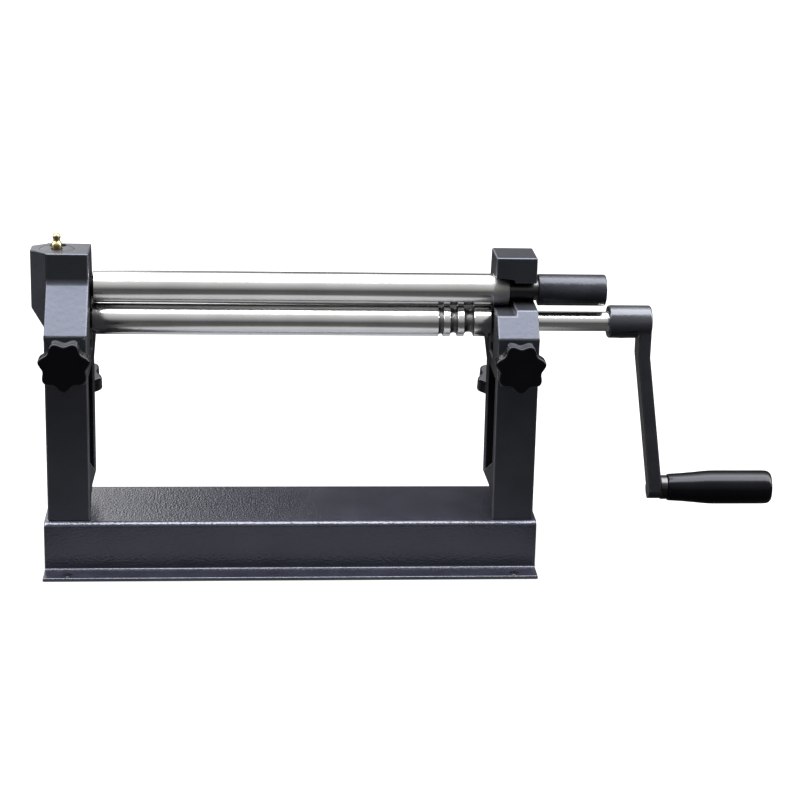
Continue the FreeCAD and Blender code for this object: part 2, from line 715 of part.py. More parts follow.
def build_front_block(label, sign):
    """Bearing block whose sloped foot stands on the wedge pin."""
    body = new_body(label, FRONT)
    ramp = "frontScrewUp + rampUp + rampGap - frontUp"
    start = "blockFace" if sign == "" else "-blockEnd"
    shape = [
        ("-footHalf", f"{ramp} + footHalf * rampSlope"),
        ("footHalf", f"{ramp} - footHalf * rampSlope"),
        ("footHalf", "-frontBelow"),
        ("frontHalf", "-frontBelow"),
        ("frontHalf", "frontAbove"),
        ("-frontHalf", "frontAbove"),
        ("-frontHalf", "-frontBelow"),
        ("-footHalf", "-frontBelow"),
    ]
    pad(body, outline(body, "YZ", shape, start), "blockEnd - blockFace")
    bore = rounds(body, "YZ", [("0", "0", "journalRadius + running")], f"{start} - 1")
    pocket(body, bore, "30", True)


def build_wedge_pin(label, sign):
    """Round pin with a flat ramp, origin below the roll axis."""
    body = new_body(label, (f"{sign}screwX", "rollY", "frontScrewUp"))
    pad(body, rounds(body, "XZ", [("0", "0", "pinRadius")], "rollY - pinTip"),
        "pinTip - pinFoot")
    above = [
        ("-12.6", "rampUp + 12.6 * rampSlope"),
        ("20", "rampUp - 20 * rampSlope"),
        ("20", "20"),
        ("-12.6", "20"),
    ]
    pocket(body, outline(body, "YZ", above, "-10"), "20", True)


def build_screw(label, place, tilt, length, tip):
    body = new_body(label, place, tilt)
    spin(body, [
        ("0", "0"),
        (tip, "0"),
        (tip, "-tipLong"),
        ("screwRadius", "-tipLong - 1"),
        ("screwRadius", f"-{length}"),
        ("0", f"-{length}"),
    ], "V_Axis")


def build_knob(label, place, tilt, at, length):
    body = new_body(label, place, tilt)
    rim = rounds(body, "XY", [("0", "0", "knobRadius")], f"-{at} - knobThick / 2")
    pad(body, rim, "knobThick")
    valley = rounds(body, "XY", [("0", "-valleyAt", "valleyRadius")],
                    f"-{at} - knobThick / 2 - 1")
    cut = pocket(body, valley, "knobThick + 2", True)
    ring = body.newObject("PartDesign::PolarPattern", f"{label}_ring")
    ring.Originals = [cut]
    ring.Axis = (valley, ["N_Axis"])
    ring.Angle = 360
    ring.Occurrences = 7
    body.Tip = ring
    doc.recompute()
    corners = []
    for number, edge in enumerate(ring.Shape.Edges, start=1):
        first, last = edge.Vertexes[0].Point, edge.Vertexes[-1].Point
        if abs(first.z - last.z) > 1 and math.hypot(first.x, first.y) > 18:
            corners.append(f"Edge{number}")
    smooth = body.newObject("PartDesign::Fillet", f"{label}_lobes")
    smooth.Base = (ring, corners)
    smooth.setExpression("Radius", bound("lobeRound"))
    body.Tip = smooth
    hub = rounds(body, "XY", [("0", "0", "hubRadius")], f"-{at}")
    pad(body, hub, "knobThick / 2 + hubLong")
    bore = rounds(body, "XY", [("0", "0", "screwRadius")], f"-{length}")
    pocket(body, bore, "60", True)


for name, sign in (("left", "-"), ("right", "")):
    build_front_block(f"front_block_{name}", sign)
    build_wedge_pin(f"wedge_pin_{name}", sign)
    tip_at = (f"{sign}screwX", "pinFoot", "frontScrewUp")
    build_screw(f"front_screw_{name}", tip_at, "-90", "frontScrewLong", "screwRadius - 1")
    build_knob(f"front_knob_{name}", tip_at, "-90", "frontKnobAt", "frontScrewLong")
    block = new_body(f"rear_block_{name}", ("0", "rearY", "rearUp"), "lean")
    start = "blockFace" if sign == "" else "-blockEnd"
    half = "rearBlockHalf"
    square = [(f"-{half}", f"-{half}"), (half, f"-{half}"),
              (half, half), (f"-{half}", half)]
    pad(block, outline(block, "YZ", square, start), "blockEnd - blockFace")
    bore = rounds(block, "YZ", [("0", "0", "rearJournal + running")], f"{start} - 1")
    pocket(block, bore, "30", True)
    socket = rounds(block, "XY", [(f"{sign}screwX", "0", "rearTipRadius + running")],
                    "-rearTip + running")
    pocket(block, socket, "10")
    rear_tip = (f"{sign}screwX", "rearY + rearTip * leanSine",
                "rearUp - rearTip * leanCosine")
    build_screw(f"rear_screw_{name}", rear_tip, "lean", "rearScrewLong", "rearTipRadius")
    build_knob(f"rear_knob_{name}", rear_tip, "lean", "rearKnobAt", "rearScrewLong")

doc.recompute()

for item in doc.Objects:
    faults = [word for word in item.State if word in ("Invalid", "Error", "Touched")]
    if faults:
        raise RuntimeError(f"{item.Label} is {faults}")
for item in nodes:
    if item.Shape.isNull():
        raise RuntimeError(f"{item.Label} has no shape")
    if not item.Shape.isValid():
        raise RuntimeError(f"{item.Label} has an invalid shape")
    if not item.Shape.Solids:
        raise RuntimeError(f"{item.Label} has no solid")

os.makedirs("parts", exist_ok=True)
for item in nodes:
    item.Shape.exportStep(f"parts/{item.Label}.step")
    box = item.Shape.BoundBox
    print(f"{item.Label:20s} solids {len(item.Shape.Solids)} volume {item.Shape.Volume:9.1f}"
          f" X {box.XMin:7.1f} {box.XMax:7.1f} Y {box.YMin:6.1f} {box.YMax:6.1f}"
          f" Z {box.ZMin:6.1f} {box.ZMax:6.1f}")
print(f"{len(nodes)} nodes")
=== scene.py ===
import math
import bmesh
import bpy
from mathutils import Matrix, Vector


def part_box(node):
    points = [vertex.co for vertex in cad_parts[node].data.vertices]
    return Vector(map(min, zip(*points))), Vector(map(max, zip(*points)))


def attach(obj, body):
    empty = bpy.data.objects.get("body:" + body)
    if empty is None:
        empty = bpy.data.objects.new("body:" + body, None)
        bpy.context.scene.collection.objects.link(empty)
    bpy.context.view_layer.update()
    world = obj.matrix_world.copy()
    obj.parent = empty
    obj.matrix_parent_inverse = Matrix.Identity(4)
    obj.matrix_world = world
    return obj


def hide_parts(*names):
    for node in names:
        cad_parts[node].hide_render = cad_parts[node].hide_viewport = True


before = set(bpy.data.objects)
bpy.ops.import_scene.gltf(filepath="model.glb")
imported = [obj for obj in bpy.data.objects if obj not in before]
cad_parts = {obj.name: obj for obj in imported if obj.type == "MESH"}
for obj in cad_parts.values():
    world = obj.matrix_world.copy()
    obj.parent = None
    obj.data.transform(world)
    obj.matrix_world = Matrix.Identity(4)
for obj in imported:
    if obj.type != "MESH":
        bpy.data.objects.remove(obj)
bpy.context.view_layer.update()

mm = 0.001
upperAxis = (0, 8.5, 221)
frontAxis = (0, 8.5, 194.9)
gripAxis = (0, 8.5, 52.5)
print("frame loaded")

camera = {
    "place": (-36.207, -1692.663, 643.939),
    "turn": 0.10952,  # the three angles are in radians
    "tip": 0.29286,
    "roll": 0.03445,
    "focus": 2189.378,  # in pixels of a render this wide
    "pixels": 800,
    "sensor": 36,
    "shift": -0.097645,
    "farthest": 30,
}


def placeCamera(want):
    yaw, pitch, roll = want["turn"], want["tip"], want["roll"]
    ahead = Vector((math.sin(yaw) * math.cos(pitch), math.cos(yaw) * math.cos(pitch), -math.sin(pitch)))
    level = Vector((math.cos(yaw), -math.sin(yaw), 0))
    above = level.cross(ahead)
    right = math.cos(roll) * level + math.sin(roll) * above
    up = -math.sin(roll) * level + math.cos(roll) * above
    turn = Matrix((right, up, -ahead)).transposed().to_4x4()
    data = bpy.data.cameras.new("studioCamera")
    data.sensor_width = want["sensor"]
    data.lens = want["sensor"] * want["focus"] / want["pixels"]
    data.shift_x = want["shift"]
    data.clip_end = want["farthest"]
    rig = bpy.data.objects.new("studioCamera", data)
    bpy.context.scene.collection.objects.link(rig)
    rig.matrix_world = Matrix.Translation(Vector(want["place"]) * mm) @ turn
    bpy.context.scene.camera = rig


placeCamera(camera)
print("camera placed")


def newGroup(name, takes, gives):
    group = bpy.data.node_groups.new(name, "ShaderNodeTree")
    for label, kind, value in takes:
        socket = group.interface.new_socket(label, in_out="INPUT", socket_type="NodeSocket" + kind)
        if value is not None:
            socket.default_value = value
    for label, kind in gives:
        group.interface.new_socket(label, in_out="OUTPUT", socket_type="NodeSocket" + kind)
    return group, group.nodes.new("NodeGroupInput"), group.nodes.new("NodeGroupOutput")


def addNode(tree, kind, values=(), **settings):  # values go into its sockets, settings onto the node itself
    node = tree.nodes.new("ShaderNode" + kind)
    for key, value in settings.items():
        setattr(node, key, value)
    for socket, value in dict(values).items():
        node.inputs[socket].default_value = value
    return node


def rampOf(tree, source, stops):
    node = addNode(tree, "ValToRGB")
    marks = node.color_ramp.elements
    while len(marks) < len(stops):
        marks.new(0.5)
    for mark, (spot, shade) in zip(marks, stops):
        mark.position = spot
        mark.color = (shade, shade, shade, 1)
    tree.links.new(source, node.inputs[0])
    return node.outputs[0]


hammer = {
    "smoothness": 0.8,
    "broad": {"Scale": 38, "Detail": 4},
    "fine": {"Scale": 900, "Detail": 2},
    "fineShare": 0.35,
    "toneSpan": {"From Min": 0.3, "From Max": 0.7, "To Min": -1, "To Max": 1},
}


def makeHammerGroup():  # orange-peel enamel: mottled height and a faint tone change
    group, takes, gives = newGroup(
        "hammerEnamel",
        [("Vector", "Vector", None), ("Scale", "Float", 320.0), ("Mottle", "Float", 0.2),
         ("Dust", "Float", 0.1)],
        [("Tone", "Float"), ("Height", "Float"), ("Gloss", "Float")],
    )
    link = group.links.new
    cells = addNode(group, "TexVoronoi", {"Smoothness": hammer["smoothness"]}, feature="SMOOTH_F1")
    link(takes.outputs["Vector"], cells.inputs["Vector"])
    link(takes.outputs["Scale"], cells.inputs["Scale"])
    broad = addNode(group, "TexNoise", hammer["broad"])
    link(takes.outputs["Vector"], broad.inputs["Vector"])
    fine = addNode(group, "TexNoise", hammer["fine"])
    link(takes.outputs["Vector"], fine.inputs["Vector"])
    height = addNode(group, "Math", {1: hammer["fineShare"]}, operation="MULTIPLY_ADD")
    link(fine.outputs[0], height.inputs[0])
    link(cells.outputs["Distance"], height.inputs[2])
    link(height.outputs[0], gives.inputs["Height"])
    tone = addNode(group, "MapRange", hammer["toneSpan"])
    link(broad.outputs[0], tone.inputs["Value"])
    scaled = addNode(group, "Math", {2: 1}, operation="MULTIPLY_ADD")
    link(tone.outputs[0], scaled.inputs[0])
    link(takes.outputs["Mottle"], scaled.inputs[1])
    link(scaled.outputs[0], gives.inputs["Tone"])
    gloss = addNode(group, "Math", operation="MULTIPLY")
    link(broad.outputs[0], gloss.inputs[0])
    link(takes.outputs["Dust"], gloss.inputs[1])
    link(gloss.outputs[0], gives.inputs["Gloss"])
    return group


latheMarks = {
    "squeeze": (1, 0.02, 0.02),  # rings stay close along X and run far around it
    "ringDetail": 3,
    "cloud": {"Scale": 26, "Detail": 5},
    "cloudShare": 0.06,
    "toneSpan": (0.35, 0.65),
    "depth": 0.0001,
}


def makeTurnedGroup():  # fine lathe rings across the axis of a turned part
    group, takes, gives = newGroup(
        "turnedRings",
        [("Vector", "Vector", None), ("Rings", "Float", 900.0), ("Streak", "Float", 0.15)],
        [("Gloss", "Float"), ("Height", "Float"), ("Tone", "Float")],
    )
    link = group.links.new
    squeeze = addNode(group, "VectorMath", {1: latheMarks["squeeze"]}, operation="MULTIPLY")
    link(takes.outputs["Vector"], squeeze.inputs[0])
    rings = addNode(group, "TexNoise", {"Detail": latheMarks["ringDetail"]})
    link(squeeze.outputs[0], rings.inputs["Vector"])
    link(takes.outputs["Rings"], rings.inputs["Scale"])
    cloud = addNode(group, "TexNoise", latheMarks["cloud"])
    link(takes.outputs["Vector"], cloud.inputs["Vector"])
    gloss = addNode(group, "Math", operation="MULTIPLY")
    link(rings.outputs[0], gloss.inputs[0])
    link(takes.outputs["Streak"], gloss.inputs[1])
    both = addNode(group, "Math", {1: latheMarks["cloudShare"]}, operation="MULTIPLY_ADD")
    link(cloud.outputs[0], both.inputs[0])
    link(gloss.outputs[0], both.inputs[2])
    link(both.outputs[0], gives.inputs["Gloss"])
    link(rings.outputs[0], gives.inputs["Height"])
    link(cloud.outputs[0], gives.inputs["Tone"])
    return group


hammerGroup = makeHammerGroup()
turnedGroup = makeTurnedGroup()


def newMaterial(name):
    material = bpy.data.materials.new(name)
    material.use_nodes = True
    tree = material.node_tree
    tree.nodes.clear()
    shader = addNode(tree, "BsdfPrincipled")
    output = addNode(tree, "OutputMaterial")
    tree.links.new(shader.outputs[0], output.inputs[0])
    place = addNode(tree, "TexCoord")
    return material, tree, shader, place.outputs["Object"]


def tinted(tree, tone, colour):  # colour times a tone near 1
    mix = addNode(tree, "VectorMath", {0: colour}, operation="SCALE")
    tree.links.new(tone, mix.inputs["Scale"])
    return mix.outputs[0]


def glossAndRelief(tree, shader, group, rough, bump, depth):
    headShade = addNode(tree, "Math", {1: rough}, operation="ADD")
    tree.links.new(group.outputs["Gloss"], headShade.inputs[0])
    tree.links.new(headShade.outputs[0], shader.inputs["Roughness"])
    relief = addNode(tree, "Bump", {"Strength": bump, "Distance": depth})
    tree.links.new(group.outputs["Height"], relief.inputs["Height"])
    tree.links.new(relief.outputs[0], shader.inputs["Normal"])


def enamel(name, colour, rough, scale, mottle, bump, dust=0.12, shine=0.5, sheen=(0.84, 0.88, 1),
           depth=0.0006):
    material, tree, shader, place = newMaterial(name)
    group = addNode(tree, "Group", {"Scale": scale, "Mottle": mottle, "Dust": dust}, node_tree=hammerGroup)
    tree.links.new(place, group.inputs["Vector"])
    tree.links.new(tinted(tree, group.outputs["Tone"], colour), shader.inputs["Base Color"])
    glossAndRelief(tree, shader, group, rough, bump, depth)
    shader.inputs["Specular Tint"].default_value = (*sheen, 1)
    shader.inputs["Specular IOR Level"].default_value = shine
    return material


def turned(name, colour, rough, rings, streak, bump, tone=0.1):
    material, tree, shader, place = newMaterial(name)
    group = addNode(tree, "Group", {"Rings": rings, "Streak": streak}, node_tree=turnedGroup)
    tree.links.new(place, group.inputs["Vector"])
    darkest, full = latheMarks["toneSpan"]
    shade = rampOf(tree, group.outputs["Tone"], [(darkest, 1 - tone), (full, 1.0)])
    tree.links.new(tinted(tree, shade, colour), shader.inputs["Base Color"])
    glossAndRelief(tree, shader, group, rough, bump, latheMarks["depth"])
    shader.inputs["Metallic"].default_value = 1
    return material


coolSheen = (0.72, 0.79, 1.0)
finishes = {  # colour, roughness, size of the pattern, its strength, relief
    "casting": enamel("castingEnamel", (0.0075, 0.0077, 0.0088), 0.34, 260, 0.12, 0.12,
                      shine=0.52, sheen=coolSheen),
    # painted shade: the inner faces take a dull, barely reflecting copy of the casting paint
    "inner": enamel("innerShadeEnamel", (0.009, 0.0092, 0.01), 0.6, 260, 0.15, 0.2, shine=0.1),
    # painted highlight: lighter, shinier paint on the bevels that face the rolls
    "edge": enamel("edgeHighlightEnamel", (0.022, 0.023, 0.027), 0.34, 260, 0.3, 0.12, shine=0.6, sheen=coolSheen),
    # painted shade: near-black, barely reflecting paint inside the leg's recess
    "recess": enamel("recessShadeEnamel", (0.0045, 0.0046, 0.005), 0.6, 260, 0.1, 0.1, shine=0.03),
    "base": enamel("baseEnamel", (0.0064, 0.0068, 0.011), 0.2, 700, 0.2, 0.34, dust=0.1, shine=0.74),
    "sleeve": enamel("sleeveEnamel", (0.012, 0.0126, 0.016), 0.19, 330, 0.25, 0.2, shine=0.28),
    "crank": enamel("crankEnamel", (0.0145, 0.0152, 0.018), 0.16, 330, 0.16, 0.12, shine=0.47),
    "plastic": enamel("blackPhenolic", (0.0014, 0.0014, 0.0018), 0.12, 140, 0.25, 0.03,
                      shine=0.17, sheen=(0.85, 0.88, 1), depth=0.0003),
    "steel": turned("groundSteel", (0.74, 0.74, 0.73), 0.12, 1400, 0.08, 0.06),
    "zinc": turned("platedSteel", (0.68, 0.69, 0.7), 0.18, 800, 0.12, 0.12),
    # painted shade: near-black steel for journals inside the housings and for the rear roll
    "paintedShade": enamel("paintedShadeSteel", (0.005, 0.005, 0.005), 0.4, 260, 0.15, 0.1, shine=0.06),
    # painted shade: darker, duller steel for the roll's end under the right head
    "headShade": turned("headShadeSteel", (0.3, 0.3, 0.29), 0.3, 1400, 0.25, 0.3, tone=0.4),
    # painted shade: dark steel for the roll's nose inside the right head
    "noseShade": turned("noseShadeSteel", (0.06, 0.06, 0.062), 0.22, 1200, 0.1, 0.08),
    "collar": turned("collarSteel", (0.045, 0.045, 0.047), 0.16, 900, 0.1, 0.08),
    # very dark bronze for the blocks and the bush
    "bronze": turned("darkBronze", (0.05, 0.042, 0.03), 0.45, 700, 0.15, 0.2),
    # painted shade: darker, duller steel inside the wire grooves
    "groove": turned("grooveShadeSteel", (0.15, 0.15, 0.15), 0.34, 1400, 0.2, 0.3, tone=0.4),
    "brass": turned("nippleBrass", (0.29, 0.235, 0.12), 0.24, 900, 0.1, 0.1),
}
print("finishes made")


def steadyNormals(shape, smooth):  # big flat faces keep their own normal beside small rounded edges
    shape.normal_update()
    limit = math.radians(smooth)
    areas = {face: face.calc_area() for face in shape.faces}
    normals = []
    for face in shape.faces:
        for vert in face.verts:
            near = [other for other in vert.link_faces if other.normal.angle(face.normal, 0) < limit]
            normals.append(sum((other.normal * areas[other] for other in near), Vector()).normalized())
    return normals


def finishPiece(name, shape, finish, body, replaced, smooth=32, parts=(), steady=False):
    for face in shape.faces:  # parts are pairs of a finish and a test of a face
        face.material_index = next((number for number, part in enumerate(parts, 1) if part[1](face)), 0)
    mesh = bpy.data.meshes.new(name)
    shape.to_mesh(mesh)
    normals = steadyNormals(shape, smooth) if steady else None
    shape.free()
    mesh.shade_smooth()
    mesh.set_sharp_from_angle(angle=math.radians(smooth))
    if steady:
        mesh.normals_split_custom_set(normals)
    for each in (finish, *(part[0] for part in parts)):
        mesh.materials.append(finishes[each])
    piece = bpy.data.objects.new(name, mesh)
    bpy.context.scene.collection.objects.link(piece)
    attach(piece, body)
    if replaced:
        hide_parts(*replaced)


turnedWeld = 1e-6  # metres


# an outline is a list of (along, radius) in mm, spun about X through the centre
def latheShape(outline, centre, tilt=None, steps=96):
    shape = bmesh.new()
    points = [shape.verts.new((along * mm, 0, radius * mm)) for along, radius in outline]
    for first, second in zip(points, points[1:]):
        shape.edges.new((first, second))
    bmesh.ops.spin(shape, geom=shape.verts[:] + shape.edges[:], cent=(0, 0, 0), axis=(1, 0, 0),
                   angle=math.tau, steps=steps, use_merge=True, use_duplicate=False)
    bmesh.ops.remove_doubles(shape, verts=shape.verts, dist=turnedWeld)
    bmesh.ops.recalc_face_normals(shape, faces=shape.faces)
    if tilt is not None:
        bmesh.ops.transform(shape, matrix=tilt, verts=shape.verts)
    bmesh.ops.translate(shape, vec=Vector(centre) * mm, verts=shape.verts)
    return shape


def alongRoll(face):
    return face.calc_center_median().x / mm


def bevelSome(shape, edges, width, segments):
    made = bmesh.ops.bevel(shape, geom=edges, offset=width * mm, offset_type="OFFSET", segments=segments,
                           profile=0.5, affect="EDGES", material=-1, clamp_overlap=False)
    return made["faces"]


rounding = {
    "weld": 2e-6,  # metres
    "flat": 0.4,  # degrees, like the next
    "sharp": 24,
    "onFold": 0.2,
    "nearFold": 1.2,  # times the size of the fold
    "foldSteps": 8,
    "edgeSteps": 3,
}


def mergedCopy(node):
    shape = bmesh.new()
    shape.from_mesh(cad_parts[node].data)
    bmesh.ops.remove_doubles(shape, verts=shape.verts, dist=rounding["weld"])
    return shape


# a copy of a CAD node with its folds rounded, then its long sharp edges and those that onRim picks
def castShape(node, look, onRim=lambda edge: False):
    folds = look.get("folds", ())  # each is an edge along X through (y, z), and its size
    shape = mergedCopy(node)
    bmesh.ops.dissolve_limit(shape, angle_limit=math.radians(rounding["flat"]), verts=shape.verts,
                             edges=shape.edges)
    for y, z, size in folds:
        spot = Vector((y, z)) * mm
        along = [edge for edge in shape.edges
                 if all((vert.co.yz - spot).length < rounding["onFold"] * mm for vert in edge.verts)]
        bevelSome(shape, along, size, rounding["foldSteps"])
    sharp = []
    for edge in shape.edges:
        if len(edge.link_faces) != 2 or abs(edge.calc_face_angle(0)) < math.radians(rounding["sharp"]):
            continue
        middle = (edge.verts[0].co.yz + edge.verts[1].co.yz) / 2
        folded = any((middle - Vector((y, z)) * mm).length < rounding["nearFold"] * size * mm
                     for y, z, size in folds)
        if edge.calc_length() > look["shortest"] * mm or folded or onRim(edge):
            sharp.append(edge)
    for face in bevelSome(shape, sharp, look["edge"], rounding["edgeSteps"]):
        face.tag = True
    low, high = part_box(node)
    for vert in shape.verts:  # corners of a fold stay inside the casting
        vert.co = [min(max(spot, least), most) for spot, least, most in zip(vert.co, low, high)]
    return shape


housingLook = {
    "edge": 1.2,
    "shortest": 4.0,
    "folds": [(-40.5, 192.5, 1.2), (-9.5, 228, 3)],
    "recessY": (-28, 27.5),  # the recess of the leg, as far as its painted shade goes
    "recessZ": (87, 155.5),
    "recessX": -160.5,
    "edgeTurn": -0.1,  # shares of X in a face's direction
    "innerTurn": 0.95,
}


def housingParts(toRolls):  # toRolls is the sign of X from this housing to the rolls
    (front, back), (bottom, top) = housingLook["recessY"], housingLook["recessZ"]

    def inRecess(face):
        spot = face.calc_center_median() / mm
        return bottom < spot.z < top and front < spot.y < back and spot.x * toRolls < housingLook["recessX"]

    # painted light: a highlight on the edge bevels, painted shade in the recess and on the inner faces
    return [("edge", lambda face: face.tag and face.normal.x * toRolls > housingLook["edgeTurn"]),
            ("recess", inRecess),
            ("inner", lambda face: face.normal.x * toRolls > housingLook["innerTurn"])]


for side, toRolls in (("left", 1), ("right", -1)):
    shape = castShape(f"{side}_housing", housingLook)
    finishPiece(f"{side}HousingCasting", shape, "casting", "frame", [f"{side}_housing"],
                parts=housingParts(toRolls), steady=True)
print("housings rounded")

baseLook = {
    "edge": 0.7,
    "shortest": 4.0,
    "folds": [(-45.5, 42, 4.2), (45.5, 42, 4.2), (-45.5, 3, 1.5), (45.5, 3, 1.5)],
}
shape = castShape("base_channel", baseLook)
finishPiece("foldedBase", shape, "base", "frame", ["base_channel"], steady=True)
print("base folded")

pivotLook = {"centre": (-185.4, 8.5), "above": 250.95, "outside": 13.4, "edge": 0.6, "edgeSteps": 2}


def onPivotRim(edge):
    centre = Vector(pivotLook["centre"]) * mm
    return all(vert.co.z > pivotLook["above"] * mm
               and (vert.co.xy - centre).length > pivotLook["outside"] * mm for vert in edge.verts)


shape = mergedCopy("trunnion")
rims = [edge for edge in shape.edges if onPivotRim(edge)]
bevelSome(shape, rims, pivotLook["edge"], pivotLook["edgeSteps"])
finishPiece("pivotBlock", shape, "casting", "swivel", ["trunnion"], steady=True)

rollSteps = 128
upperRoll = {
    "centre": upperAxis,
    "outline": [(-193.5, 0), (-193.5, 7.4), (-192.9, 8), (-157.4, 8), (-157.4, 12.1), (-156.8, 12.7),
                (159.2, 12.7), (159.4, 12.5), (159.6, 12.7), (171.2, 12.7), (171.8, 12.4), (172, 11.9),
                (172, 0)],
    "nose": [(172, 8.7), (238, 8.7), (238, 0), (172, 0), (172, 8.7)],
    "paintedShadeTo": -157.35,
    "headShadeFrom": 159.4,
}
shape = latheShape(upperRoll["outline"], upperRoll["centre"], steps=rollSteps)
# the roll's end under the right head and its left journal take painted shade
finishPiece("upperSlipRoll", shape, "steel", "upper", ["upper_roll"],
            parts=[("headShade", lambda face: alongRoll(face) > upperRoll["headShadeFrom"]),
                   ("paintedShade", lambda face: alongRoll(face) < upperRoll["paintedShadeTo"])])
shape = latheShape(upperRoll["nose"], upperRoll["centre"])
finishPiece("upperRollNose", shape, "noseShade", "upper", [])

pullHandle = {
    "centre": upperAxis,
    "outline": [(196.4, 8.7), (195.9, 9.2), (195.8, 10), (195.8, 11.9), (196.1, 12.5), (196.7, 12.7),
                (249.6, 12.7), (250.4, 12.45), (250.9, 11.9), (251.1, 11.2), (251.1, 0), (238.2, 0),
                (238.2, 8.7), (196.4, 8.7)],
}
shape = latheShape(pullHandle["outline"], pullHandle["centre"])
finishPiece("pullSleeve", shape, "sleeve", "upper", ["pull_handle"])

frontRoll = {
    "centre": frontAxis,
    "rim": 12.7,
    "grooves": [(118, 2), (128.4, 3), (140.6, 4)],  # place and radius
    "grooveSteps": 10,
    "lip": 0.25,  # the chamfer beside a groove, and its depth
    "lipDeep": 0.2,
    "start": [(-181, 0), (-181, 7.4), (-180.4, 8), (-158.5, 8), (-158.5, 12.1), (-158.3, 12.5),
              (-157.8, 12.7)],
    "end": [(157.8, 12.7), (158.3, 12.5), (158.5, 12.1), (158.5, 8), (163, 8), (288.2, 8), (289, 7.2),
            (289, 0)],
    "journal": (158.45, 163),  # between these the shaft takes the painted shade
    "grooved": 150,  # a groove lies within this of the middle, and this far below the rim
    "belowRim": 0.12,
}


def grooveOutline(at, radius):  # half-round wire groove, its lips broken by a small chamfer
    rim, lip, steps = frontRoll["rim"], frontRoll["lipDeep"], frontRoll["grooveSteps"]
    points = [(at - radius - frontRoll["lip"], rim)]
    for step in range(steps + 1):
        turn = math.pi * step / steps
        deep = rim - lip - radius * math.sin(turn) + lip * math.sin(turn)
        points.append((at - radius * math.cos(turn), deep))
    points.append((at + radius + frontRoll["lip"], rim))
    return points


outline = list(frontRoll["start"])
for at, radius in frontRoll["grooves"]:
    outline += grooveOutline(at, radius)
outline += frontRoll["end"]
shape = latheShape(outline, frontRoll["centre"], steps=rollSteps)
rollCentre = Vector(frontAxis).yz * mm


def onJournal(face):
    near, far = frontRoll["journal"]
    return alongRoll(face) < -near or near < alongRoll(face) < far


def inGroove(face):
    reach = (face.calc_center_median().yz - rollCentre).length
    return (abs(alongRoll(face)) < frontRoll["grooved"]
            and reach < (frontRoll["rim"] - frontRoll["belowRim"]) * mm)


# the grooves and the journals take painted shade
finishPiece("frontDrivenRoll", shape, "steel", "front", ["front_roll"],
            parts=[("groove", inGroove), ("paintedShade", onJournal)])

rearRoll = {
    "centre": (0, 40.5, 190),
    "outline": [(-181, 0), (-181, 5), (-180.5, 5.5), (-158.5, 5.5), (-158.5, 12.1), (-158.3, 12.5),
                (-157.8, 12.7), (157.8, 12.7), (158.3, 12.5), (158.5, 12.1), (158.5, 5.5), (180.5, 5.5),
                (181, 5), (181, 0)],
}
shape = latheShape(rearRoll["outline"], rearRoll["centre"], steps=rollSteps)
# the whole rear roll takes the painted shade, as it lies in shade behind the other rolls
finishPiece("rearBendingRoll", shape, "paintedShade", "rear", ["rear_roll"])
print("rolls turned")

crank = {"edge": 1.9, "shortest": 5.0, "hub": 13.35, "onHub": 0.08}


def onHubRim(edge):
    return all(abs((vert.co.yz - rollCentre).length - crank["hub"] * mm) < crank["onHub"] * mm
               for vert in edge.verts)


shape = castShape("crank_arm", crank, onHubRim)
finishPiece("crankArmCasting", shape, "crank", "front", ["crank_arm"], steady=True)

crankGrip = {
    "centre": gripAxis,
    "outline": [(311.4, 4.05), (311.4, 10.2), (311.7, 10.8), (312.3, 11.15), (323.4, 11.8), (335.4, 12.85),
                (341.4, 13.5), (347.4, 13.9), (353.4, 14), (392, 14), (395.5, 13.75), (397.6, 13),
                (398.7, 11.8), (399, 10.5), (399, 7.6), (398.6, 6.9), (391, 6.85), (391, 4.05),
                (311.4, 4.05)],
}
shape = latheShape(crankGrip["outline"], crankGrip["centre"])
finishPiece("turningGrip", shape, "plastic", "grip", ["crank_grip"])
gripCollar = {
    "centre": gripAxis,
    "outline": [(305.4, 4.3), (305.4, 9.6), (305.8, 10), (310.7, 10), (311.1, 9.6), (311.1, 4.3),
                (305.4, 4.3)],
}
shape = latheShape(gripCollar["outline"], gripCollar["centre"])
finishPiece("gripCollarRing", shape, "collar", "front", ["grip_collar"])
print("crank built")

knob = {
    "radius": 18.6,
    "wave": 1.75,
    "lobes": 7,
    "facets": 168,
    "thick": 13,
    "edge": 2.0,
    "edgeSteps": 5,
    "sharp": 1.2,  # radians
    "hub": 9,
    "hubTaper": 0.92,
    "hubFacets": 64,
    "hubLong": 4.5,
}


